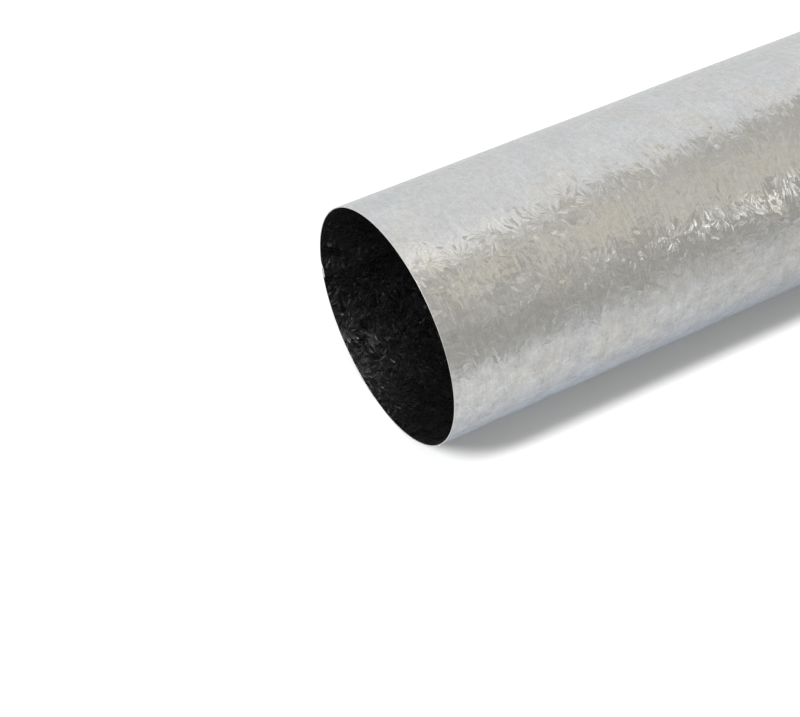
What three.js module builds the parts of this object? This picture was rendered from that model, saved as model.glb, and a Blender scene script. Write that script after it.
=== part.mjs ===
// A length of galvanised steel tube, lying on its side.
//
// One sheet is rolled round until its two long edges meet. Each edge is folded back on itself and the two
// folds hook into each other: a lock seam, four layers thick, which is pressed flat towards the inside so
// that the outside stays smooth. The tube is a little out of round, widest across its seam.
//
// Millimetres. +X runs along the tube, +Z is up, and the origin is under the middle of the tube, which
// rests on z = 0.

import * as THREE from "three";

const LENGTH = 1000;
const DIAMETER = 125; // outside, before the tube is pressed out of round
const SHEET = 0.5; // thickness of the zinc-coated sheet
const SQUASH = 2.4; // what the half width gains and the half height loses
const SEAM_WIDTH = 5.5; // over the two folds
const SEAM_GAP = 0.1; // between one layer of the seam and the next
const STEP_RUN = 5; // the length over which one edge slopes down behind the other

const FACET = 4; // the longest flat on the wall
const BEND_FACETS = 8; // flats round a fold, and down the slope

const HALF_WIDTH = DIAMETER / 2 + SQUASH;
const HALF_HEIGHT = DIAMETER / 2 - SQUASH;
const LAYER = SHEET + SEAM_GAP;

// The middle of the sheet, drawn unrolled: x is the way round from the middle of the seam and y is the depth
// below the outside. The seam's layers are numbered from 0, the outermost. The outer edge is layer 0, hooked
// back as layer 2. The inner edge, one full turn away, dives behind it as layer 3 and hooks back as layer 1.
function unrolledSheet() {
  const turn = 2 * Math.PI * HALF_HEIGHT;
  const fold = SEAM_WIDTH / 2 - LAYER - SHEET / 2;
  const depth = (layer) => SHEET / 2 + layer * LAYER;
  const slopeEnd = fold - turn;
  const slopeStart = slopeEnd + STEP_RUN;
  const ease = STEP_RUN / 3;

  const sheet = new THREE.Path();
  sheet.moveTo(-fold, depth(2));
  sheet.lineTo(fold, depth(2));
  sheet.absarc(fold, depth(1), LAYER, Math.PI / 2, -Math.PI / 2, true);
  sheet.lineTo(slopeStart, depth(0));
  sheet.bezierCurveTo(slopeStart - ease, depth(0), slopeEnd + ease, depth(3), slopeEnd, depth(3));
  sheet.lineTo(-fold - turn, depth(3));
  sheet.absarc(-fold - turn, depth(2), LAYER, Math.PI / 2, -Math.PI / 2, false);
  sheet.lineTo(fold - turn, depth(1));
  return sheet;
}

// Rolls a point of the unrolled drawing onto the oval. The seam's middle lies at the oval's wide end.
function rolled(point) {
  const angle = point.x / HALF_HEIGHT;
  const outside = new THREE.Vector2(HALF_WIDTH * Math.cos(angle), HALF_HEIGHT * Math.sin(angle));
  const outward = new THREE.Vector2(Math.cos(angle) / HALF_WIDTH, Math.sin(angle) / HALF_HEIGHT).normalize();
  return outside.addScaledVector(outward, -point.y);
}

// The sheet's closed outline: along one face from edge to edge, and back along the other.
function sectionOutline() {
  const oneFace = [];
  const otherFace = [];
  const addStation = (curve, share) => {
    const middle = curve.getPoint(share);
    const along = curve.getTangent(share);
    const halfSheet = new THREE.Vector2(-along.y, along.x).multiplyScalar(SHEET / 2);
    oneFace.push(rolled(middle.clone().add(halfSheet)));
    otherFace.unshift(rolled(middle.clone().sub(halfSheet)));
  };
  const { curves } = unrolledSheet();
  for (const curve of curves) {
    const steps = curve.isLineCurve ? Math.ceil(curve.getLength() / FACET) : BEND_FACETS;
    for (let i = 0; i < steps; i++) addStation(curve, i / steps);
  }
  addStation(curves.at(-1), 1);
  return [...oneFace, ...otherFace];
}

function centreOfMass(outline) {
  const sum = new THREE.Vector2();
  let doubleArea = 0;
  outline.forEach((point, i) => {
    const next = outline[(i + 1) % outline.length];
    const cross = point.cross(next);
    sum.addScaledVector(point, cross).addScaledVector(next, cross);
    doubleArea += cross;
  });
  return sum.divideScalar(3 * doubleArea);
}

// The seam makes one side heavy, so the tube rolls until the oval's normal at its foot passes through the
// centre of mass. A tube too round to balance that way rolls right over, onto its seam. Its wall is made of
// narrow flats, so the last part of a degree brings the flat at the foot level.
function restingTurn(outline) {
  const heavySide = centreOfMass(outline).x;
  const balance = (heavySide * HALF_WIDTH) / (HALF_WIDTH ** 2 - HALF_HEIGHT ** 2);
  const foot = -Math.acos(Math.min(balance, 1));
  const normalAtFoot = Math.atan2(Math.sin(foot) / HALF_HEIGHT, Math.cos(foot) / HALF_WIDTH);
  const turn = -Math.PI / 2 - normalAtFoot;
  const axis = new THREE.Vector2();
  const turned = outline.map((point) => point.clone().rotateAround(axis, turn));
  const [lowest, next] = turned.sort((a, b) => a.y - b.y);
  return turn - Math.atan((next.y - lowest.y) / (next.x - lowest.x));
}

const outline = sectionOutline();
const zinc = new THREE.MeshStandardMaterial({ color: 0xb6b7b4, roughness: 0.4, metalness: 1 });
const tube = new THREE.Mesh(
  new THREE.ExtrudeGeometry(new THREE.Shape(outline), { depth: LENGTH, bevelEnabled: false }),
  zinc,
);
tube.name = "tube";
tube.rotation.set(Math.PI / 2, Math.PI / 2, 0); // the section's x and y become Y and Z, and its depth X

const lying = new THREE.Group();
lying.rotation.x = restingTurn(outline);
lying.add(tube);

const box = new THREE.Box3().setFromObject(lying, true);
const middle = box.getCenter(new THREE.Vector3());
lying.position.set(-middle.x, -middle.y, -box.min.z);

const model = new THREE.Group();
model.add(lying);

export default model;
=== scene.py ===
# %% [markdown]
# # A galvanised steel tube
#
# The object is one metre of thin round tube, as used for stove pipes and air ducts. A blank of
# zinc-coated sheet is folded along its two long edges, rolled round, and the folds are hooked into
# each other and pressed flat. That joint is called a lock seam, and here it lies inside the tube.
#
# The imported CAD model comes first. It fixes the size and the place of everything else.

# %% Load the frame
import math

import bmesh
import bpy
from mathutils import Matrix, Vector


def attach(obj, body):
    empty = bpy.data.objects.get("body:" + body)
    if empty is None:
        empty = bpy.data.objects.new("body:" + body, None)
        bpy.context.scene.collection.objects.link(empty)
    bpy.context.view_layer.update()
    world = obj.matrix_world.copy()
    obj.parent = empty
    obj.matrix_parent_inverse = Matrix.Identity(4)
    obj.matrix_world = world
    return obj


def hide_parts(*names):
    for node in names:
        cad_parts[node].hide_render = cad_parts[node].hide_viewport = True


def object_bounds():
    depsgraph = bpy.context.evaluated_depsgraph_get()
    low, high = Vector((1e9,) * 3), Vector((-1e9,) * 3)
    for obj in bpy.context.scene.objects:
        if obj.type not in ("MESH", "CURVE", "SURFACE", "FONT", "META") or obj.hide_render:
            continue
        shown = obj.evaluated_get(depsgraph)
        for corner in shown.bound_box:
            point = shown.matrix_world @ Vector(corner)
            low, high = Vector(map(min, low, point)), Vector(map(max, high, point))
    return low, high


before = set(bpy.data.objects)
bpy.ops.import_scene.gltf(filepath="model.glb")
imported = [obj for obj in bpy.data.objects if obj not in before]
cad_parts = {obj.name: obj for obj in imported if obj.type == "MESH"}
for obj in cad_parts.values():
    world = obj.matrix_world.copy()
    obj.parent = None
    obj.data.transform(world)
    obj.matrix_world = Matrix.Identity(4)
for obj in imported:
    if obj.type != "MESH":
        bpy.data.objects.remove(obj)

cad_low, cad_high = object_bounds()

MM = 1000  # millimetres in a metre


def in_mm(*lengths):
    """Lengths in millimetres, rounded for printing."""
    return [round(MM * length, 2) for length in lengths]


print("CAD box, mm:", in_mm(*(cad_high - cad_low)))

# %% [markdown]
# ## The sizes
#
# A sheet-metal shop would write these on its drawing: the length, the diameter, the sheet, and how
# wide the folds of the seam are. A light tube never stays quite round, so one number says how much
# wider than high it has become, and the heavy seam rolls it a little to one side before it rests.
# All lengths are in metres, as everything in Blender is here.

# %% Sizes
LENGTH = cad_high.x - cad_low.x
DIAMETER = 0.125  # outside, before the tube is pressed out of round
SHEET = 0.0005  # thickness of the zinc-coated sheet
SQUASH = 0.0024  # what the half width gains and the half height loses
SEAM_WIDTH = 0.0055  # over the two folds
SEAM_GAP = 0.0001  # between one layer of the seam and the next
STEP_RUN = 0.005  # the length over which one edge slopes down behind the other
RESTING_TURN = math.radians(-13.32)  # how far the seam's weight rolls the tube

HALF_WIDTH = DIAMETER / 2 + SQUASH
HALF_HEIGHT = DIAMETER / 2 - SQUASH
print("oval, mm:", in_mm(2 * HALF_WIDTH, 2 * HALF_HEIGHT))

# %% [markdown]
# ## The blank
#
# The model is made in the order of the workshop. First comes the flat blank, as a sheet without
# thickness. X runs along the tube, Z runs the way round, and the outside looks along +Y. A grid is
# the right primitive here, because its rows of faces can bend later. Without a window, Blender's
# turning operators count their angles clockwise.
#
# Pressing the finished tube wide also pulls the layers of the seam apart by the same share, so the
# distances between the flat layers are that share smaller.

# %% Cut the blank
STATIONS_ALONG = 200
STATIONS_ROUND = 132
PRESS = HALF_WIDTH / HALF_HEIGHT

layer_step = (SHEET + SEAM_GAP) / PRESS
fold_line = SEAM_WIDTH / 2 - (SHEET + SEAM_GAP) - SHEET / 2
girth = 2 * math.pi * HALF_HEIGHT
slope_start = fold_line - girth + STEP_RUN


def layer_y(number):
    """Where the middle of a layer of the seam lies in the flat sheet. Layer 0 is the tube's wall."""
    return -SHEET / 2 / PRESS - number * layer_step


bpy.ops.object.select_all(action="DESELECT")
bpy.ops.mesh.primitive_grid_add(x_subdivisions=STATIONS_ALONG, y_subdivisions=STATIONS_ROUND, size=1)
tube = bpy.context.object
tube.name = "tube_wall"
bpy.ops.object.mode_set(mode="EDIT")
bpy.ops.transform.resize(value=(LENGTH, fold_line - slope_start, 1), center_override=(0, 0, 0))
bpy.ops.transform.rotate(value=math.pi / 2, orient_axis="X", center_override=(0, 0, 0))
bpy.ops.transform.translate(value=(0, layer_y(0), (fold_line + slope_start) / 2))
bpy.ops.object.mode_set(mode="OBJECT")
print("blank, mm:", in_mm(*tube.dimensions), "faces:", len(tube.data.polygons))

# %% [markdown]
# ## Keeping the place on the sheet
#
# The zinc crystals grow on the flat sheet, before anything is bent. So each vertex remembers how
# far round the sheet it lies, in an attribute called "way". New rows of faces add their own width
# to it. At the end it becomes the UV map, and the crystals then follow every fold.

# %% Remember the way round
way = tube.data.attributes.new("way", "FLOAT", "POINT")
for vertex in tube.data.vertices:
    way.data[vertex.index].value = vertex.co.z
print("way round the blank, from and to, mm:", in_mm(slope_start, fold_line))

# %% [markdown]
# ## Four moves of a folding machine
#
# A fold is made from the sheet's edge: pick the row of vertices there, and pull or spin a new row of
# faces out of it. The helpers below do that, and keep each vertex's place on the sheet up to date.
# Rows are picked by where they lie, because numbers of vertices change with every step.

# %% Helpers for the folds
NEAR = 1e-6  # two places closer than this are the same
FOLD_FLATS = 8  # flat faces round one fold


def pick_row(y, z):
    """Select only the row of vertices along the tube that lies at this place."""
    mesh = bmesh.from_edit_mesh(tube.data)
    for vertex in mesh.verts:
        vertex.select_set(abs(vertex.co.y - y) < NEAR and abs(vertex.co.z - z) < NEAR)
    mesh.select_flush_mode()
    bmesh.update_edit_mesh(tube.data)


def add_way(distance):
    """Add this distance to the place on the sheet of the selected vertices."""
    mesh = bmesh.from_edit_mesh(tube.data)
    place = mesh.verts.layers.float["way"]
    for vertex in mesh.verts:
        if vertex.select:
            vertex[place] += distance
    bmesh.update_edit_mesh(tube.data)


def pull_row(y, z, side):
    """Pull a new row of faces out of the selected edge. Side is 1 at the upper edge, -1 at the lower."""
    bpy.ops.mesh.extrude_region_move(TRANSFORM_OT_translate={"value": (0, y, z)})
    add_way(side * math.hypot(y, z))


def fold_row(centre_y, centre_z, side):
    """Fold the selected edge half a turn round a line along the tube, in small flats."""
    flat_angle = math.pi / FOLD_FLATS
    for _ in range(FOLD_FLATS):
        bpy.ops.mesh.spin(steps=1, angle=-flat_angle, center=(0, centre_y, centre_z), axis=(1, 0, 0))
        add_way(side * layer_step * flat_angle)


# %% [markdown]
# ## The upper fold
#
# One long edge is folded back under the wall, like the hem of a shirt: half a turn round the line
# between the layers, and then a flat lip as wide as the seam allows.

# %% Fold the upper edge
bpy.ops.object.mode_set(mode="EDIT")
bpy.ops.mesh.select_mode(type="VERT")
pick_row(layer_y(0), fold_line)
fold_row(layer_y(1), fold_line, side=1)
pull_row(0, -2 * fold_line, side=1)
bpy.ops.object.mode_set(mode="OBJECT")
lip_y = min(vertex.co.y for vertex in tube.data.vertices)
print("upper lip, made and planned, mm:", in_mm(lip_y, layer_y(2)))

# %% [markdown]
# ## The lower fold
#
# The other edge has to reach in behind the first one. It slopes down below all the layers, in an
# S-curve that starts and ends level. Then it is folded up, and its lip hooks over the first lip.

# %% Slope and fold the lower edge
SLOPE_FLATS = 8


def ease(share):
    """Goes from 0 to 1 as the share does, and starts and ends level."""
    return share * share * (3 - 2 * share)


bpy.ops.object.mode_set(mode="EDIT")
pick_row(layer_y(0), slope_start)
drop = layer_y(3) - layer_y(0)
reached = 0
for flat in range(1, SLOPE_FLATS + 1):
    eased = ease(flat / SLOPE_FLATS)
    pull_row(drop * (eased - reached), -STEP_RUN / SLOPE_FLATS, side=-1)
    reached = eased
pull_row(0, -2 * fold_line, side=-1)
fold_row(layer_y(2), -fold_line - girth, side=-1)
pull_row(0, 2 * fold_line, side=-1)
bpy.ops.object.mode_set(mode="OBJECT")
ways = [item.value for item in tube.data.attributes["way"].data]
print("sheet needed for the blank, mm:", in_mm(max(ways) - min(ways)))
print("faces:", len(tube.data.polygons))

# %% [markdown]
# ## Rolling
#
# The rolling machine is the Simple Deform modifier in its bend mode. It bends the whole sheet by
# one angle, so the angle is the sheet's extent the way round, over the radius. Rolled once round,
# the two folds land in each other, and the lock seam is closed. Pressing the ring wide is a plain
# scale, and after it the ring is turned to where the seam's weight leaves it.

# %% Roll, press and turn
bpy.ops.object.modifier_add(type="SIMPLE_DEFORM")
roll = tube.modifiers[-1]
roll.deform_method = "BEND"
roll.deform_axis = "X"
roll.angle = -tube.dimensions.z / HALF_HEIGHT
bpy.ops.object.modifier_apply(modifier=roll.name)

bpy.ops.object.mode_set(mode="EDIT")
bpy.ops.mesh.select_all(action="SELECT")
bpy.ops.transform.translate(value=(0, HALF_HEIGHT, 0))
bpy.ops.transform.resize(value=(1, PRESS, 1), center_override=(0, 0, 0))
bpy.ops.transform.rotate(value=-RESTING_TURN, orient_axis="X", center_override=(0, 0, 0))
bpy.ops.object.mode_set(mode="OBJECT")
print("rolled, mm:", in_mm(*tube.dimensions))

# %% [markdown]
# ## Not quite straight
#
# Thin sheet is never perfectly even after rolling. It keeps waves of about a tenth of a millimetre,
# far too low to feel, but a shiny wall shows them: the edges of every reflection wander. A Displace
# modifier with a soft cloud texture makes them. The seam is stiff, so the waves fade out there.

# %% Wave the wall
WAVE_LENGTH = 0.045
WAVE_HEIGHT = 0.0004  # from the lowest to the highest that the texture can give
CALM = 0.03  # how far from the seam the waves are full

free_wall = tube.vertex_groups.new(name="free_wall")
for vertex, place in zip(tube.data.vertices, tube.data.attributes["way"].data):
    from_seam = min(place.value - slope_start, fold_line - place.value)
    free_wall.add([vertex.index], ease(min(max(from_seam / CALM, 0), 1)), "REPLACE")

clouds = bpy.data.textures.new("wall_waves", "CLOUDS")
clouds.noise_scale = WAVE_LENGTH
clouds.noise_depth = 1
bpy.ops.object.modifier_add(type="DISPLACE")
waves = tube.modifiers[-1]
waves.texture = clouds
waves.strength = WAVE_HEIGHT
waves.vertex_group = free_wall.name
bpy.ops.object.modifier_apply(modifier=waves.name)
print("waved, mm:", in_mm(*tube.dimensions))

# %% [markdown]
# ## The sheet's thickness
#
# Until now the tube is a surface through the middle of the sheet. Solidify gives it half a
# millimetre, half to each side, and closes the cut ends. The two faces and the cut edge get
# material places of their own, because each looks different.

# %% Thicken the sheet
SKINS = ("zinc_outside", "zinc_inside", "cut_edge")  # the tube's material places, in their order
INSIDE = SKINS.index("zinc_inside")
CUT_EDGE = SKINS.index("cut_edge")

bpy.ops.object.modifier_add(type="SOLIDIFY")
thicken = tube.modifiers[-1]
thicken.thickness = SHEET
thicken.offset = 0
thicken.use_even_offset = True
thicken.material_offset = INSIDE
thicken.material_offset_rim = CUT_EDGE
for name in SKINS:
    tube.data.materials.append(bpy.data.materials.new(name))
bpy.ops.object.modifier_apply(modifier=thicken.name)
print("faces with thickness:", len(tube.data.polygons))

# %% [markdown]
# ## The edges of the cut
#
# Nothing that was cut from sheet is as sharp as a mesh edge. A file takes off a few hundredths of a
# millimetre, and that narrow slope catches a line of light all round the mouth. A Bevel modifier
# with an angle limit finds just these edges: every bend of the sheet is gentler than the limit. Its
# new faces are bare steel, like the cut. Smooth shading then hides the flats of the round, and
# weighted normals keep the wide faces from taking the shade of the narrow ones.

# %% Break the cut edges
BREAK = 0.00007  # how far back each edge is taken
BREAK_FLATS = 2
CORNER = math.radians(60)  # an edge sharper than this is a cut edge
CREASE = math.radians(50)  # an edge sharper than this stays sharp in the shading

bpy.ops.object.modifier_add(type="BEVEL")
soften = tube.modifiers[-1]
soften.width = BREAK
soften.segments = BREAK_FLATS
soften.limit_method = "ANGLE"
soften.angle_limit = CORNER
soften.material = CUT_EDGE
bpy.ops.object.modifier_apply(modifier=soften.name)
bpy.ops.object.shade_smooth_by_angle(angle=CREASE)
bpy.ops.object.modifier_add(type="WEIGHTED_NORMAL")
even_out = tube.modifiers[-1]
even_out.weight = 100
even_out.keep_sharp = True
bpy.ops.object.modifier_apply(modifier=even_out.name)
bare_faces = sum(face.material_index == CUT_EDGE for face in tube.data.polygons)
print("faces:", len(tube.data.polygons), "of them bare steel:", bare_faces)

# %% [markdown]
# ## In the CAD tube's place
#
# The tube was rolled round the X axis, and it has to lie on the floor. So it is moved until its box
# has the same middle from front to back as the CAD tube's, and the same lowest point. The move is
# made in edit mode: it goes into the mesh, and the object itself stays at the origin.

# %% Set it in the CAD tube's place
bpy.ops.object.mode_set(mode="EDIT")
bpy.ops.mesh.select_all(action="SELECT")
lows = [min(vertex.co[axis] for vertex in tube.data.vertices) for axis in range(3)]
highs = [max(vertex.co[axis] for vertex in tube.data.vertices) for axis in range(3)]
shift_y = (cad_low.y + cad_high.y - lows[1] - highs[1]) / 2
bpy.ops.transform.translate(value=(0, shift_y, cad_low.z - lows[2]))
bpy.ops.object.mode_set(mode="OBJECT")
triangles = sum(len(face.vertices) - 2 for face in tube.data.polygons)
print("tube box, mm:", in_mm(*tube.dimensions), "triangles:", triangles)

# %% [markdown]
# ## The sheet as a map
#
# The crystals belong to the flat sheet, so the material needs to know where on the sheet it is. The
# UV map says that in metres: U runs along the tube and V the way round. Because it was remembered
# before the rolling, nothing is stretched, and the pattern breaks at the seam as the real one does.

# %% Lay out the sheet
place_on_sheet = [item.value for item in tube.data.attributes["way"].data]
sheet_start = min(place_on_sheet)
sheet_map = tube.data.uv_layers.new(name="sheet")
for corner in tube.data.loops:
    along = tube.data.vertices[corner.vertex_index].co.x - cad_low.x
    sheet_map.data[corner.index].uv = (along, place_on_sheet[corner.vertex_index] - sheet_start)
tube.data.attributes.remove(tube.data.attributes["way"])
tube.vertex_groups.clear()
print("sheet map, mm:", in_mm(LENGTH, max(place_on_sheet) - sheet_start))

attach(tube, "root")
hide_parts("tube")

# %% [markdown]
# ## Building materials in code
#
# Node materials get long when every node is made by hand. This small helper adds a node and sets or
# links its inputs in one line. A value that is a socket is linked, and any other value is set. The
# nodes that come up again and again, such as soft noise or a ramp of colours, get a line of their
# own.

# %% A helper for nodes
NODE_SPACING = 180  # in the editor, so that no node covers the next


class Nodes:
    """Adds nodes to one node tree, from left to right."""

    def __init__(self, tree):
        self.tree = tree

    def add(self, kind, inputs=None, **settings):
        node = self.tree.nodes.new(kind)
        node.location.x = NODE_SPACING * len(self.tree.nodes)
        for name, value in settings.items():
            setattr(node, name, value)
        for name, value in (inputs or {}).items():
            if isinstance(value, bpy.types.NodeSocket):
                self.tree.links.new(value, node.inputs[name])
            else:
                node.inputs[name].default_value = value
        return node

    def math(self, operation, *values):
        return self.add("ShaderNodeMath", dict(enumerate(values)), operation=operation).outputs[0]

    def vector(self, operation, *values, output="Vector"):
        node = self.add("ShaderNodeVectorMath", dict(enumerate(values)), operation=operation)
        return node.outputs[output]

    def scaled(self, vector, factor):
        return self.add("ShaderNodeVectorMath", {0: vector, "Scale": factor}, operation="SCALE").outputs[0]

    def parts(self, vector):
        return self.add("ShaderNodeSeparateXYZ", {0: vector}).outputs

    def whole(self, x, y, z=0.0):
        return self.add("ShaderNodeCombineXYZ", {0: x, 1: y, 2: z}).outputs[0]

    def centred(self, colour):
        return self.vector("SUBTRACT", colour, (0.5, 0.5, 0.5))

    def ranged(self, value, start, end, at_start=0.0, at_end=1.0):
        """Goes evenly from one number to the other while the value goes from start to end."""
        inputs = {0: value, 1: start, 2: end, 3: at_start, 4: at_end}
        return self.add("ShaderNodeMapRange", inputs).outputs[0]

    def noise(self, place, scale, detail, roughness=0.5):
        """Soft noise over the sheet, as a number round 0.5 and as a colour."""
        inputs = {"Vector": place, "Scale": scale, "Detail": detail, "Roughness": roughness}
        return self.add("ShaderNodeTexNoise", inputs, noise_dimensions="2D").outputs

    def cells(self, place):
        """One cell round each seed. A seed lies somewhere in each square of side 1."""
        inputs = {"Vector": place, "Scale": 1.0}
        return self.add("ShaderNodeTexVoronoi", inputs, voronoi_dimensions="2D").outputs

    def ramp(self, value, stops):
        """A ramp through these stops, each of them a position and a colour."""
        node = self.add("ShaderNodeValToRGB", {0: value})
        elements = node.color_ramp.elements
        for element, (position, colour) in zip(elements, (stops[0], stops[-1])):
            element.position = position
            element.color = (*colour, 1)
        for position, colour in stops[1:-1]:
            elements.new(position).color = (*colour, 1)
        return node.outputs[0]

    def mixed(self, share, first, second):
        """The first colour where the share is 0, and the second where it is 1."""
        return self.add("ShaderNodeMix", {0: share, 6: first, 7: second}, data_type="RGBA").outputs[2]

    def group(self, tree, **inputs):
        return self.add("ShaderNodeGroup", inputs, node_tree=tree).outputs


def empty_nodes(owner):
    """Clears the nodes of a material or a world, and returns the helper for new ones."""
    owner.use_nodes = True
    owner.node_tree.nodes.clear()
    return Nodes(owner.node_tree)


# %% [markdown]
# ## Groups
#
# What several finishes share is made once, as a node group, and each material places it with its
# own values. A group is a small node tree with named sockets on both sides.

# %% Helpers for groups
NUMBER, VECTOR, COLOUR = "NodeSocketFloat", "NodeSocketVector", "NodeSocketColor"


def new_group(name, inputs, outputs):
    """A shader node group with named sockets. Returns its helper and its input sockets."""
    group = bpy.data.node_groups.new(name, "ShaderNodeTree")
    for socket, (kind, default) in inputs.items():
        made = group.interface.new_socket(socket, in_out="INPUT", socket_type=kind)
        made.default_value = default
    for socket, kind in outputs.items():
        group.interface.new_socket(socket, in_out="OUTPUT", socket_type=kind)
    nodes = Nodes(group)
    return nodes, nodes.add("NodeGroupInput").outputs


def close_group(nodes, **outputs):
    """Links the results to the group's outputs, and returns the finished group."""
    nodes.add("NodeGroupOutput", outputs)
    print("group", nodes.tree.name, "has", len(nodes.tree.nodes), "nodes")
    return nodes.tree


# %% [markdown]
# ## Zinc crystals
#
# When the sheet leaves the zinc bath, the zinc freezes from many seeds, and each seed grows into a
# flower of feathery leaves. The leaves are smooth, but each leans a little its own way, and so one
# leaf catches the light while the next one doesn't. This is called spangle.
#
# Two Voronoi textures make it. The first divides the sheet into flowers. Inside a flower, distance
# and angle from a point near its seed become new coordinates, in which the second one draws leaves:
# they run outwards and fan open. A soft noise bends the sheet's coordinates first, because no leaf
# is quite straight.

# %% The flowers
BENDS_PER_MM = 0.25
BEND = 1.5  # millimetres, from the one extreme to the other
CENTRE_SHIFT = 1.9  # in flowers: a flower's centre lies up to half of this off its seed

nodes, given = new_group(
    "zinc_leaves",
    {
        "Place": (VECTOR, (0, 0, 0)),
        "Flower Size": (NUMBER, 10),
        "Leaf Length": (NUMBER, 3.6),
        "Leaf Width": (NUMBER, 0.95),
        "Lean": (NUMBER, 0.14),
        "Rounding": (NUMBER, 0.09),
        "Flower Lean": (NUMBER, 0.07),
    },
    {"Slope": VECTOR, "Flower": COLOUR, "Leaf": COLOUR},
)
drift = nodes.centred(nodes.noise(given["Place"], BENDS_PER_MM, detail=1.0)["Color"])
bent = nodes.vector("ADD", given["Place"], nodes.scaled(drift, BEND))
flower_size = given["Flower Size"]
in_flowers = nodes.vector("DIVIDE", bent, nodes.whole(flower_size, flower_size, 1.0))
flower = nodes.cells(in_flowers)
shift = nodes.scaled(nodes.centred(flower["Color"]), CENTRE_SHIFT)
from_seed = nodes.vector("SUBTRACT", nodes.vector("SUBTRACT", in_flowers, flower["Position"]), shift)
seed_x, seed_y, _ = nodes.parts(from_seed)
from_centre = nodes.whole(seed_x, seed_y)
out_x, out_y, _ = nodes.parts(nodes.vector("NORMALIZE", from_centre))
sideways = nodes.whole(nodes.math("MULTIPLY", out_y, -1.0), out_x)
print("nodes for the flowers:", len(nodes.tree.nodes))

# %% [markdown]
# ### Leaves
#
# Each leaf gets a lean at random and a rounded back, and all the leaves of a flower lean a little
# with it. All three are slopes along the tube and round it. Slopes keep their strength at any
# distance, as bump doesn't. Most leaves lie nearly flat and a few stand out, so the slope grows
# faster than the random lean does.

# %% The leaves
FAN = 0.6  # in flowers: this far from the centre a leaf is as wide as Leaf Width says
LEAVES_APART = (17.0, 31.0)  # moves each flower to leaves of its own, so that no two are the same
LEAST_LEAN, MORE_LEAN = 0.5, 2.0  # a nearly flat leaf's share of Lean, and what its lean adds

flower_red, _, flower_blue = nodes.add("ShaderNodeSeparateColor", {0: flower["Color"]}).outputs
reach = nodes.math("MULTIPLY", nodes.vector("LENGTH", from_centre, output="Value"), flower_size)
angle = nodes.math("ARCTAN2", seed_y, seed_x)
turned = nodes.math("MULTIPLY", angle, nodes.math("MULTIPLY", flower_size, FAN))
leaf_x = nodes.math("DIVIDE", reach, given["Leaf Length"])
leaf_y = nodes.math("DIVIDE", turned, given["Leaf Width"])
in_leaves = nodes.whole(
    nodes.math("MULTIPLY_ADD", flower_blue, LEAVES_APART[0], leaf_x),
    nodes.math("MULTIPLY_ADD", flower_red, LEAVES_APART[1], leaf_y),
)
leaf = nodes.cells(in_leaves)
_, across, _ = nodes.parts(nodes.vector("SUBTRACT", in_leaves, leaf["Position"]))
rounded = nodes.scaled(sideways, nodes.math("MULTIPLY", across, given["Rounding"]))
leaf_red, leaf_green, _ = nodes.parts(nodes.centred(leaf["Color"]))
leaf_way = nodes.whole(leaf_red, leaf_green)
lean_squared = nodes.vector("DOT_PRODUCT", leaf_way, leaf_way, output="Value")
leaf_lean = nodes.math("MULTIPLY_ADD", lean_squared, MORE_LEAN, LEAST_LEAN)
leaning = nodes.scaled(leaf_way, nodes.math("MULTIPLY", leaf_lean, given["Lean"]))
flower_leaning = nodes.scaled(nodes.centred(flower["Color"]), given["Flower Lean"])
slope = nodes.vector("ADD", nodes.vector("ADD", rounded, leaning), flower_leaning)
zinc_leaves = close_group(nodes, Slope=slope, Flower=flower["Color"], Leaf=leaf["Color"])

# %% [markdown]
# ## Marks of the rolling mill
#
# The rolls of the mill leave fine lines, which here run the way round the tube, because the blank
# was cut across the strip. Noise that is squeezed along the tube and stretched round it gives such
# lines. The same group makes the fine grain of the zinc skin.

# %% Mill lines and grain
LINES_PER_MM = (1.1, 0.06, 1.0)  # along the tube, and round it
GRAINS_PER_MM = 0.9

nodes, given = new_group(
    "mill_lines",
    {"Place": (VECTOR, (0, 0, 0)), "Line": (NUMBER, 0.1), "Grain": (NUMBER, 0.05)},
    {"Slope": VECTOR, "Lines": NUMBER, "Grain": NUMBER},
)
lines = nodes.noise(nodes.vector("MULTIPLY", given["Place"], LINES_PER_MM), 1.0, detail=2.0)
grain = nodes.noise(given["Place"], GRAINS_PER_MM, detail=2.0)
line_slope = nodes.math("MULTIPLY", nodes.math("SUBTRACT", lines[0], 0.5), given["Line"])
grain_slope = nodes.scaled(nodes.centred(grain["Color"]), given["Grain"])
mill_slope = nodes.vector("ADD", nodes.whole(line_slope, 0.0), grain_slope)
mill_lines = close_group(nodes, Slope=mill_slope, Lines=lines[0], Grain=grain[0])

# %% [markdown]
# ## From slopes to a normal
#
# A slope along the tube tips the surface's normal towards X. A slope round the tube tips it towards
# the direction at right angles to both, which the cross product gives.

# %% Tip the normal
ALONG_TUBE = (1.0, 0.0, 0.0)

nodes, given = new_group("tipped_normal", {"Slope": (VECTOR, (0, 0, 0))}, {"Normal": VECTOR})
upright = nodes.add("ShaderNodeNewGeometry").outputs["Normal"]
round_tube = nodes.vector("CROSS_PRODUCT", upright, ALONG_TUBE)
slope_along, slope_round, _ = nodes.parts(given["Slope"])
tip = nodes.vector("ADD", nodes.scaled(ALONG_TUBE, slope_along), nodes.scaled(round_tube, slope_round))
tipped_normal = close_group(nodes, Normal=nodes.vector("NORMALIZE", nodes.vector("ADD", upright, tip)))

# %% [markdown]
# ## Stains and wear
#
# The zinc is passivated, which leaves a very thin film with faint tints, and it has dull patches
# where it was handled. Soft noise in three sizes mixes the tints and the dullness. A tube is rolled
# about on the floor it lies on, so its lower half is worn: it is cloudier and has small dark smudges.

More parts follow.
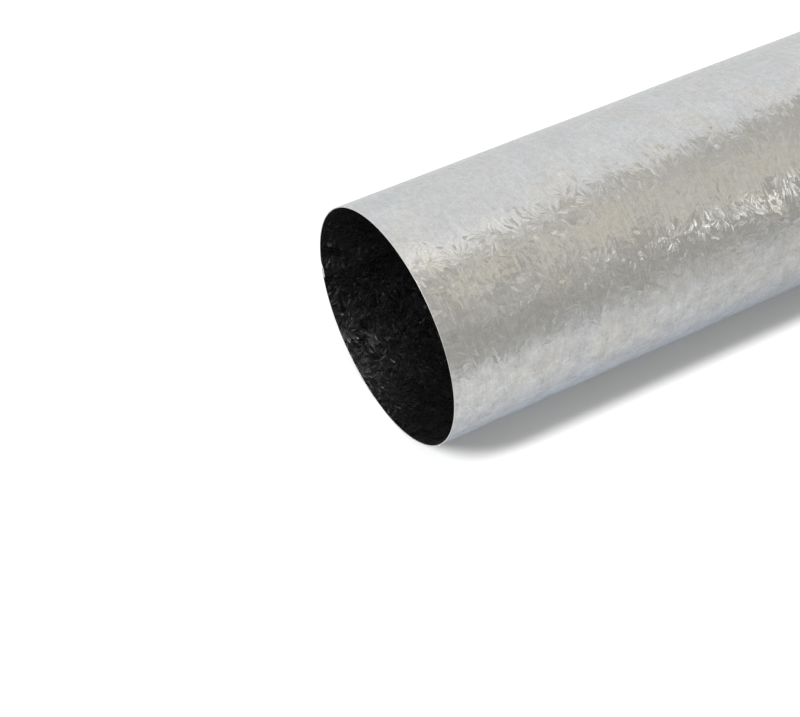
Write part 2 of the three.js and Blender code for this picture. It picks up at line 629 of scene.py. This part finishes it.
# %% Tints
PATCHES_PER_MM = 0.05
CLOUDS_PER_MM = 0.11
BLOTCHES_PER_MM = 0.3
MID_GREY = (0.5, 0.5, 0.5, 1)
FILM_TINTS = (  # cooler where the noise is low, and warmer where it is high
    (0.35, (0.602, 0.606, 0.607)),
    (0.5, (0.606, 0.606, 0.602)),
    (0.66, (0.615, 0.607, 0.588)),
)

nodes, given = new_group(
    "zinc_tint",
    {
        "Place": (VECTOR, (0, 0, 0)),
        "Flower": (COLOUR, MID_GREY),
        "Leaf": (COLOUR, MID_GREY),
        "Grain": (NUMBER, 0.5),
        "Lines": (NUMBER, 0.5),
        "Film": (COLOUR, (1, 1, 1, 1)),
        "Dullness": (NUMBER, 0.12),
        "Wear": (NUMBER, 0.0),
    },
    {"Colour": COLOUR, "Roughness": NUMBER},
)
patches = nodes.noise(given["Place"], PATCHES_PER_MM, detail=2.0)[0]
clouding = nodes.noise(given["Place"], CLOUDS_PER_MM, detail=3.0, roughness=0.6)[0]
blotches = nodes.noise(given["Place"], BLOTCHES_PER_MM, detail=3.0)[0]
tint = nodes.ramp(patches, FILM_TINTS)
print("nodes for the tints:", len(nodes.tree.nodes))

# %% [markdown]
# ### Shade and dullness
#
# Every leaf, grain and line also reflects a little more or less than its neighbour, so each of them
# multiplies the shade by a number close to 1. The smudges come only where the blotches are strong
# and the clouds weak, so they are few and stand together.

# %% Shade and dullness
SMUDGE_SPOTS = (0.52, 0.66)  # from where to where in the blotches a smudge grows
SMUDGE_AREAS = (0.50, 0.40)  # the same in the clouds, downwards
SMUDGE_DARK = 0.21  # the share of the light that the darkest smudge takes
DULLER = 0.05  # what a dull flower, and a dull leaf, adds to the roughness
BLOTCH_DULL = 0.06

flower_x, flower_y, _ = nodes.parts(given["Flower"])
leaf_x, leaf_y, _ = nodes.parts(given["Leaf"])
spots = nodes.math("MULTIPLY", nodes.ranged(blotches, *SMUDGE_SPOTS), nodes.ranged(clouding, *SMUDGE_AREAS))
shade = nodes.math("MULTIPLY_ADD", nodes.math("MULTIPLY", spots, given["Wear"]), -SMUDGE_DARK, 1.0)
for number, amount, worn_amount in (  # what varies, how much it gives or takes, and more where worn
    (flower_x, 0.03, 0.0),
    (leaf_x, 0.04, 0.0),
    (given["Grain"], 0.12, 0.04),
    (given["Lines"], 0.09, 0.0),
    (blotches, 0.10, 0.08),
    (clouding, 0.0, 0.17),
):
    swing = nodes.math("MULTIPLY_ADD", given["Wear"], 2 * worn_amount, 2 * amount)
    varied = nodes.math("MULTIPLY_ADD", nodes.math("SUBTRACT", number, 0.5), swing, 1.0)
    shade = nodes.math("MULTIPLY", shade, varied)
# the painted shade darkens the colour of a face that lies in shade, as the bore does
colour = nodes.vector("MULTIPLY", nodes.scaled(tint, shade), given["Film"])
roughness = nodes.math("MULTIPLY_ADD", flower_y, DULLER, given["Dullness"])
roughness = nodes.math("MULTIPLY_ADD", leaf_y, DULLER, roughness)
roughness = nodes.math("MULTIPLY_ADD", blotches, BLOTCH_DULL, roughness)
zinc_tint = close_group(nodes, Colour=colour, Roughness=roughness)

# %% [markdown]
# ## The zinc material
#
# Both faces of the sheet have the same zinc skin, but not the same crystals, so the place on the
# sheet is shifted for the inside. Zinc is a metal: Metallic is 1, and Base Color is what it
# reflects. On the worn lower half the leaves are rubbed flatter, so their slopes are less.
#
# The inside never saw a hand or a floor, so it isn't worn. A painted shade darkens its Base Color,
# standing in for the shade of the dark bore, and its leaves are smaller, steeper and duller, so the
# bore looks nearly black but for a few leaves by the mouth.

# %% Zinc
WEAR_STARTS = 0.088  # the height above the floor from which wear sets in
FULLY_WORN = 0.070  # and below which it is full
LEAVES_RUBBED = 0.45  # the share of their slope that worn leaves have lost


def zinc(name, shift, fineness, painted_shade, lean, dullness, wear):
    """The zinc skin. The shift, in millimetres, picks other crystals for the other face. The painted shade
    darkens the Base Color of a face that lies in shade.
    """
    nodes = empty_nodes(bpy.data.materials[name])
    sheet = nodes.add("ShaderNodeUVMap", uv_map="sheet").outputs[0]
    per_metre = MM * fineness  # the groups think in millimetres
    mapping = {"Vector": sheet, "Location": (*shift, 0), "Scale": (per_metre, per_metre, 1)}
    place = nodes.add("ShaderNodeMapping", mapping).outputs[0]
    height = nodes.parts(nodes.add("ShaderNodeTexCoord").outputs["Object"])[2]
    worn = nodes.ranged(height, WEAR_STARTS, FULLY_WORN, 0.0, wear)
    leaves = nodes.group(zinc_leaves, Place=place, Lean=lean)
    mill = nodes.group(mill_lines, Place=place)
    tints = nodes.group(
        zinc_tint,
        Place=place,
        Flower=leaves["Flower"],
        Leaf=leaves["Leaf"],
        Grain=mill["Grain"],
        Lines=mill["Lines"],
        Film=painted_shade,
        Dullness=dullness,
        Wear=worn,
    )
    kept = nodes.math("MULTIPLY_ADD", worn, -LEAVES_RUBBED, 1.0)
    slopes = nodes.vector("ADD", nodes.scaled(leaves["Slope"], kept), mill["Slope"])
    skin = {
        "Base Color": tints["Colour"],
        "Roughness": tints["Roughness"],
        "Normal": nodes.group(tipped_normal, Slope=slopes)["Normal"],
        "Metallic": 1.0,
    }
    shader = nodes.add("ShaderNodeBsdfPrincipled", skin)
    nodes.add("ShaderNodeOutputMaterial", {"Surface": shader.outputs[0]})
    print(name, "has", len(nodes.tree.nodes), "nodes")


zinc(
    "zinc_outside",
    shift=(0, 0),
    fineness=1.0,
    painted_shade=(1, 1, 1, 1),
    lean=0.15,
    dullness=0.12,
    wear=1.0,
)
zinc(
    "zinc_inside",
    shift=(1730, 610),
    fineness=1.6,
    # painted shade: the darker Base Color stands in for the shade in the bore
    painted_shade=(0.315, 0.315, 0.338, 1),
    lean=0.25,
    dullness=0.22,
    wear=0.0,
)

# %% [markdown]
# ## The cut edge
#
# Shears leave a bare edge: a narrow band of bright steel, torn rather than smooth. Fine noise makes
# its light and dark spots, and the light ones are the duller ones, because they are the torn ones.

# %% Bare steel
TEARS_PER_M = 2500.0
STEEL_SHADES = ((0.0, (0.55, 0.55, 0.54)), (1.0, (0.80, 0.80, 0.78)))
STEEL_DULLNESS, TORN_DULLNESS = 0.35, 0.3  # the least, and what the tearing adds

nodes = empty_nodes(bpy.data.materials["cut_edge"])
where = nodes.add("ShaderNodeTexCoord").outputs["Object"]
tears = nodes.add("ShaderNodeTexNoise", {"Vector": where, "Scale": TEARS_PER_M, "Detail": 2.0}).outputs[0]
steel = {
    "Base Color": nodes.ramp(tears, STEEL_SHADES),
    "Roughness": nodes.math("MULTIPLY_ADD", tears, TORN_DULLNESS, STEEL_DULLNESS),
    "Metallic": 1.0,
}
shader = nodes.add("ShaderNodeBsdfPrincipled", steel)
nodes.add("ShaderNodeOutputMaterial", {"Surface": shader.outputs[0]})
print("cut_edge has", len(nodes.tree.nodes), "nodes")

# %% [markdown]
# ## The camera
#
# It stands in front of the near end and to its left, and looks down on the tube. A camera looks
# along its own -Z, so the direction behind it is worked out from the two angles, and to_track_quat
# turns its opposite into a rotation.

# %% Camera
CAMERA_AZIMUTH = math.radians(-30.18)
CAMERA_ELEVATION = math.radians(46.40)
CAMERA_PLACE = Vector((-0.7808, -0.4981, 0.6394))
CAMERA_LENS = 76.72  # mm
CAMERA_SENSOR = 36  # mm

level = math.cos(CAMERA_ELEVATION)
behind = Vector(
    (math.sin(CAMERA_AZIMUTH) * level, -math.cos(CAMERA_AZIMUTH) * level, math.sin(CAMERA_ELEVATION))
)
camera = bpy.data.objects.new("camera", bpy.data.cameras.new("camera"))
bpy.context.scene.collection.objects.link(camera)
camera.location = CAMERA_PLACE
camera.rotation_euler = (-behind).to_track_quat("-Z", "Y").to_euler()
camera.data.lens = CAMERA_LENS
camera.data.sensor_width = CAMERA_SENSOR
bpy.context.scene.camera = camera
mouth = Vector((cad_low.x, (cad_low.y + cad_high.y) / 2, (cad_low.z + cad_high.z) / 2))
print("camera to mouth, mm:", in_mm((camera.location - mouth).length))

# %% [markdown]
# ## The floor
#
# A large sheet of white paper, as in a product studio. It takes the tube's shadow. Far from the tube
# the camera sees plain white, so the paper seems to have no end.

# %% Lay the paper
PAPER_SIDE = 6.0

bpy.ops.object.select_all(action="DESELECT")
bpy.ops.mesh.primitive_plane_add(size=1, location=(0, 0, 0))
floor = bpy.context.object
floor.name = "floor"
bpy.ops.object.mode_set(mode="EDIT")
bpy.ops.transform.resize(value=(PAPER_SIDE, PAPER_SIDE, 1), center_override=(0, 0, 0))
bpy.ops.transform.translate(value=(0, 0, cad_low.z))
bpy.ops.object.mode_set(mode="OBJECT")
print("paper, m:", [round(side, 2) for side in floor.dimensions])

# %% [markdown]
# ### The paper in the metal, painted
#
# A shiny tube shows the paper too. What it shows here is painted: glossy rays see a glow in painted
# shades, not the lit paper. Next to the tube the ramp paints the tube's shadow, a hand's width in
# front of it the paper is brightest, and from there a painted dimming runs towards the front of the
# studio. The ramp goes by y from the front to the back. Three small painted corrections come on top:
# on the right the front stays brighter, in front of the tube the paper dims a little away from the
# mouth, and past the tube's end there is no painted shadow.

# %% How bright the metal sees the paper, as painted shades and shadow
PAINTED_PAPER_IN_METAL = (  # y, and the painted shade; the tube's painted shadow lies round y = 0
    (-1.20, (0.55, 0.54, 0.52)),
    (-0.88, (0.62, 0.61, 0.59)),
    (-0.55, (0.72, 0.715, 0.70)),
    (-0.38, (0.83, 0.83, 0.82)),
    (-0.27, (0.90, 0.90, 0.89)),
    (-0.18, (0.90, 0.90, 0.895)),
    (-0.13, (0.90, 0.90, 0.89)),
    (-0.09, (0.81, 0.82, 0.83)),
    (-0.063, (0.63, 0.66, 0.71)),
    (-0.048, (0.46, 0.51, 0.57)),
    (-0.036, (0.31, 0.33, 0.36)),
    (0.00, (0.14, 0.14, 0.14)),
    (0.05, (0.20, 0.20, 0.20)),
    (0.15, (0.838, 0.856, 0.864)),
)
PAPER_FRONT = PAINTED_PAPER_IN_METAL[0][0]
PAPER_BACK = PAINTED_PAPER_IN_METAL[-1][0]
DIMMING_STARTS = 0.27  # the painted dimming starts this far in front of the tube's axis
EVENS_OUT = (-0.13, 0.16)  # x, between which the painted dimming of the front dies away
DIMMING_LEFT = 0.1  # the share of it that stays
FALL_FROM = -0.45  # x, near the mouth, from which the painted paper in front of the tube dims
FALL_RUN = 0.25  # how far it does so
FALL_TO = 0.80  # and down to which share
FALL_FRONT = -0.06  # y, from which on it does so in full
PAST_END = (-0.500, -0.515)  # x, between which the tube's painted shadow ends
# the painted shade of the paper past the tube's end, where no shadow is painted
PAINTED_OPEN_PAPER = (0.9, 0.9, 0.9, 1)

paper = bpy.data.materials.new("paper")
nodes = empty_nodes(paper)
paper_place = nodes.add("ShaderNodeTexCoord").outputs["Object"]
paper_x, paper_y, _ = nodes.parts(paper_place)
# painted dimming of the front, which dies away on the right
dimming = nodes.ranged(paper_x, *EVENS_OUT, 1.0, DIMMING_LEFT)
close_y = nodes.math("MAXIMUM", paper_y, -DIMMING_STARTS)
front_y = nodes.math("MINIMUM", nodes.math("ADD", paper_y, DIMMING_STARTS), 0.0)
ramp_y = nodes.math("MULTIPLY_ADD", front_y, dimming, close_y)
from_front = nodes.ranged(ramp_y, PAPER_FRONT, PAPER_BACK)
paper_stops = [((y - PAPER_FRONT) / (PAPER_BACK - PAPER_FRONT), shade) for y, shade in PAINTED_PAPER_IN_METAL]
# painted shades of the paper in the metal, the tube's painted shadow among them
painted_paper_shades = nodes.ramp(from_front, paper_stops)
# painted dimming in front of the tube, away from the mouth
from_mouth = nodes.math("ADD", paper_x, -FALL_FROM)
fallen = nodes.math("MULTIPLY", from_mouth, nodes.ranged(paper_y, 0.0, FALL_FRONT))
painted_falling_shades = nodes.scaled(painted_paper_shades, nodes.ranged(fallen, 0.0, FALL_RUN, 1.0, FALL_TO))
painted_in_metal = nodes.mixed(nodes.ranged(paper_x, *PAST_END), painted_falling_shades, PAINTED_OPEN_PAPER)
print("the paper in the metal goes from y", PAPER_FRONT, "to", PAPER_BACK, "in", len(paper_stops), "stops")

# %% [markdown]
# ### The paper itself
#
# Three shaders are mixed by the kind of ray. A plain diffuse one takes real light and shadow near
# the tube, a glow of strength 1 is the plain white that the camera sees far away, and the painted
# shades above, painted shadow and all, glow for the metal to see. That glow mustn't light the scene,
# so it isn't sampled as a lamp.

# %% The paper's material
PAPER_WHITE = (1.2, 1.2, 1.2, 1)  # above 1, because the lamps leave plain white a little grey
SHADOW_KEPT = 0.80  # within this distance of the middle the paper shows its real light and shadow
ALL_WHITE = 1.30  # and from here on it is plain white

rays = nodes.add("ShaderNodeLightPath").outputs
diffuse = nodes.add("ShaderNodeBsdfDiffuse", {"Color": PAPER_WHITE}).outputs[0]
white_glow = nodes.add("ShaderNodeEmission", {"Color": (1, 1, 1, 1), "Strength": 1.0}).outputs[0]
# the metal sees the painted shades and the painted shadow as a glow, not the lit paper
painted_metal_glow = nodes.add("ShaderNodeEmission", {"Color": painted_in_metal, "Strength": 1.0}).outputs[0]
far = nodes.ranged(nodes.vector("LENGTH", paper_place, output="Value"), SHADOW_KEPT, ALL_WHITE)
far_seen = nodes.math("MULTIPLY", far, rays["Is Camera Ray"])
plain = nodes.add("ShaderNodeMixShader", {0: far_seen, 1: diffuse, 2: white_glow}).outputs[0]
surface = nodes.add("ShaderNodeMixShader", {0: rays["Is Glossy Ray"], 1: plain, 2: painted_metal_glow}).outputs[0]
nodes.add("ShaderNodeOutputMaterial", {"Surface": surface})
paper.cycles.emission_sampling = "NONE"
floor.data.materials.append(paper)
print("paper has", len(nodes.tree.nodes), "nodes")

# %% [markdown]
# ## Light
#
# The main light comes from high on the left, a little from the front. One far lamp would draw one
# crisp shadow. Here three stand in a fan, each of them eight degrees wide: near the tube their
# shadows cover each other and are dark, and further out they part, as they do under a long lamp.

# %% Key lamps
KEY_FAN = ((35, 0.3), (43, 0.4), (51, 0.3))  # degrees to the left, and the share of the light
KEY_FRONT = math.radians(10.5)
KEY_WIDTH = math.radians(8)
KEY_LIGHT = 0.56  # how bright the key lamps alone make white paper

for left, share in KEY_FAN:
    key_way = Vector((-math.tan(math.radians(left)), -math.tan(KEY_FRONT), 1)).normalized()
    key = bpy.data.objects.new("key", bpy.data.lights.new("key", "SUN"))
    bpy.context.scene.collection.objects.link(key)
    key.rotation_euler = key_way.to_track_quat("Z", "Y").to_euler()
    key.data.angle = KEY_WIDTH
    key.data.energy = share * KEY_LIGHT * math.pi / key_way.z
    print("key lamp", left, "degrees to the left, strength", round(key.data.energy, 3))

# %% [markdown]
# ## Small lamps
#
# A leaf of zinc shines when it leans so that a lamp stands in its mirror. So the crystals sparkle
# only where small lamps stand among the darker parts of the room. Four strips above the tube's near
# half light leaves along its top, three to the right light those further along, and one stands by
# the mouth and shines into it. A lamp's power follows from how bright its face has to look.

# %% Lamps that catch single crystals
WHITE = (1.0, 1.0, 1.0)
CREAM = (1.0, 0.97, 0.91)
WARM = (1.0, 0.93, 0.72)
SMALL_LAMPS = (  # name, place, what it faces, width, depth, how bright its face looks, tint
    ("behind_end", (-0.10, 0.28, 1.15), (-0.10, 0, 0.06), 0.36, 0.18, 0.38, WHITE),
    ("over_end", (-0.10, 0.14, 1.15), (-0.10, 0, 0.06), 0.32, 0.08, 0.95, CREAM),
    ("above_end", (-0.13, 0.00, 1.15), (-0.13, 0, 0.06), 0.28, 0.08, 1.00, CREAM),
    ("before_end", (-0.20, -0.17, 1.13), (-0.20, 0, 0.06), 0.20, 0.08, 0.95, CREAM),
    ("by_mouth", (-0.63, -0.25, 1.21), (-0.49, 0, 0.02), 0.12, 0.50, 11.5, WHITE),
    ("front_right", (0.86, -1.30, 0.75), (-0.2, 0, 0.06), 0.12, 0.45, 1.72, WHITE),
    ("front_panel", (0.74, -0.87, 1.21), (-0.2, 0, 0.06), 0.73, 1.47, 0.18, WARM),
    ("high_right", (0.50, -0.28, 1.75), (-0.25, 0, 0.06), 0.36, 0.36, 0.15, WARM),
)

for name, place, faced, width, depth, radiance, tint in SMALL_LAMPS:
    lamp = bpy.data.objects.new(name, bpy.data.lights.new(name, "AREA"))
    bpy.context.scene.collection.objects.link(lamp)
    lamp.location = place
    lamp.rotation_euler = (Vector(place) - Vector(faced)).to_track_quat("Z", "Y").to_euler()
    lamp.data.shape = "RECTANGLE"
    lamp.data.size = width
    lamp.data.size_y = depth
    lamp.data.energy = radiance * math.pi * width * depth
    lamp.data.color = tint
    print(name, "watts:", round(lamp.data.energy, 3))

# %% [markdown]
# ## The room
#
# Bare metal shows little of itself: what it shows is the room. So the room is given shades, in a
# half circle from the front over the top to the back, and each strip of the tube mirrors one of
# them. The back is a pale wall, and the front and the ceiling are greyer and warmer. The paper is
# lit by a plain fill instead, and the camera sees white beyond the paper. The Light Path node tells
# these rays apart.

# %% Room
FILL = (0.290, 0.296, 0.282, 1)
BEYOND = (1, 1, 1, 1)
ROOM_SHADES = (  # from the front, 0, over the top, 0.5, to the back, 1
    (0.0, (0.54, 0.53, 0.50)),
    (0.006, (0.50, 0.49, 0.46)),
    (0.025, (0.515, 0.505, 0.47)),
    (0.067, (0.595, 0.58, 0.54)),
    (0.25, (0.605, 0.59, 0.55)),
    (0.42, (0.62, 0.605, 0.56)),
    (0.61, (0.66, 0.645, 0.61)),
    (0.675, (0.97, 0.97, 0.97)),
    (0.93, (0.975, 0.991, 1.0)),
    (1.0, (0.892, 0.912, 0.924)),
)

world = bpy.data.worlds.new("studio")
bpy.context.scene.world = world
nodes = empty_nodes(world)
_, way_back, way_up = nodes.parts(nodes.add("ShaderNodeTexCoord").outputs["Generated"])
over_tube = nodes.vector("NORMALIZE", nodes.whole(0.0, way_back, way_up))
share_back = nodes.math("MULTIPLY_ADD", nodes.parts(over_tube)[1], 0.5, 0.5)
room = nodes.ramp(share_back, ROOM_SHADES)
rays = nodes.add("ShaderNodeLightPath").outputs
filled = nodes.mixed(rays["Is Glossy Ray"], FILL, room)
seen = nodes.mixed(rays["Is Camera Ray"], filled, BEYOND)
background = nodes.add("ShaderNodeBackground", {"Color": seen, "Strength": 1.0})
nodes.add("ShaderNodeOutputWorld", {"Surface": background.outputs[0]})
print("shades of the room:", len(ROOM_SHADES))

# %% [markdown]
# ## The end
#
# The Standard view transform shows colours as they are.

# %% Finish
bpy.context.scene.view_settings.view_transform = "Standard"
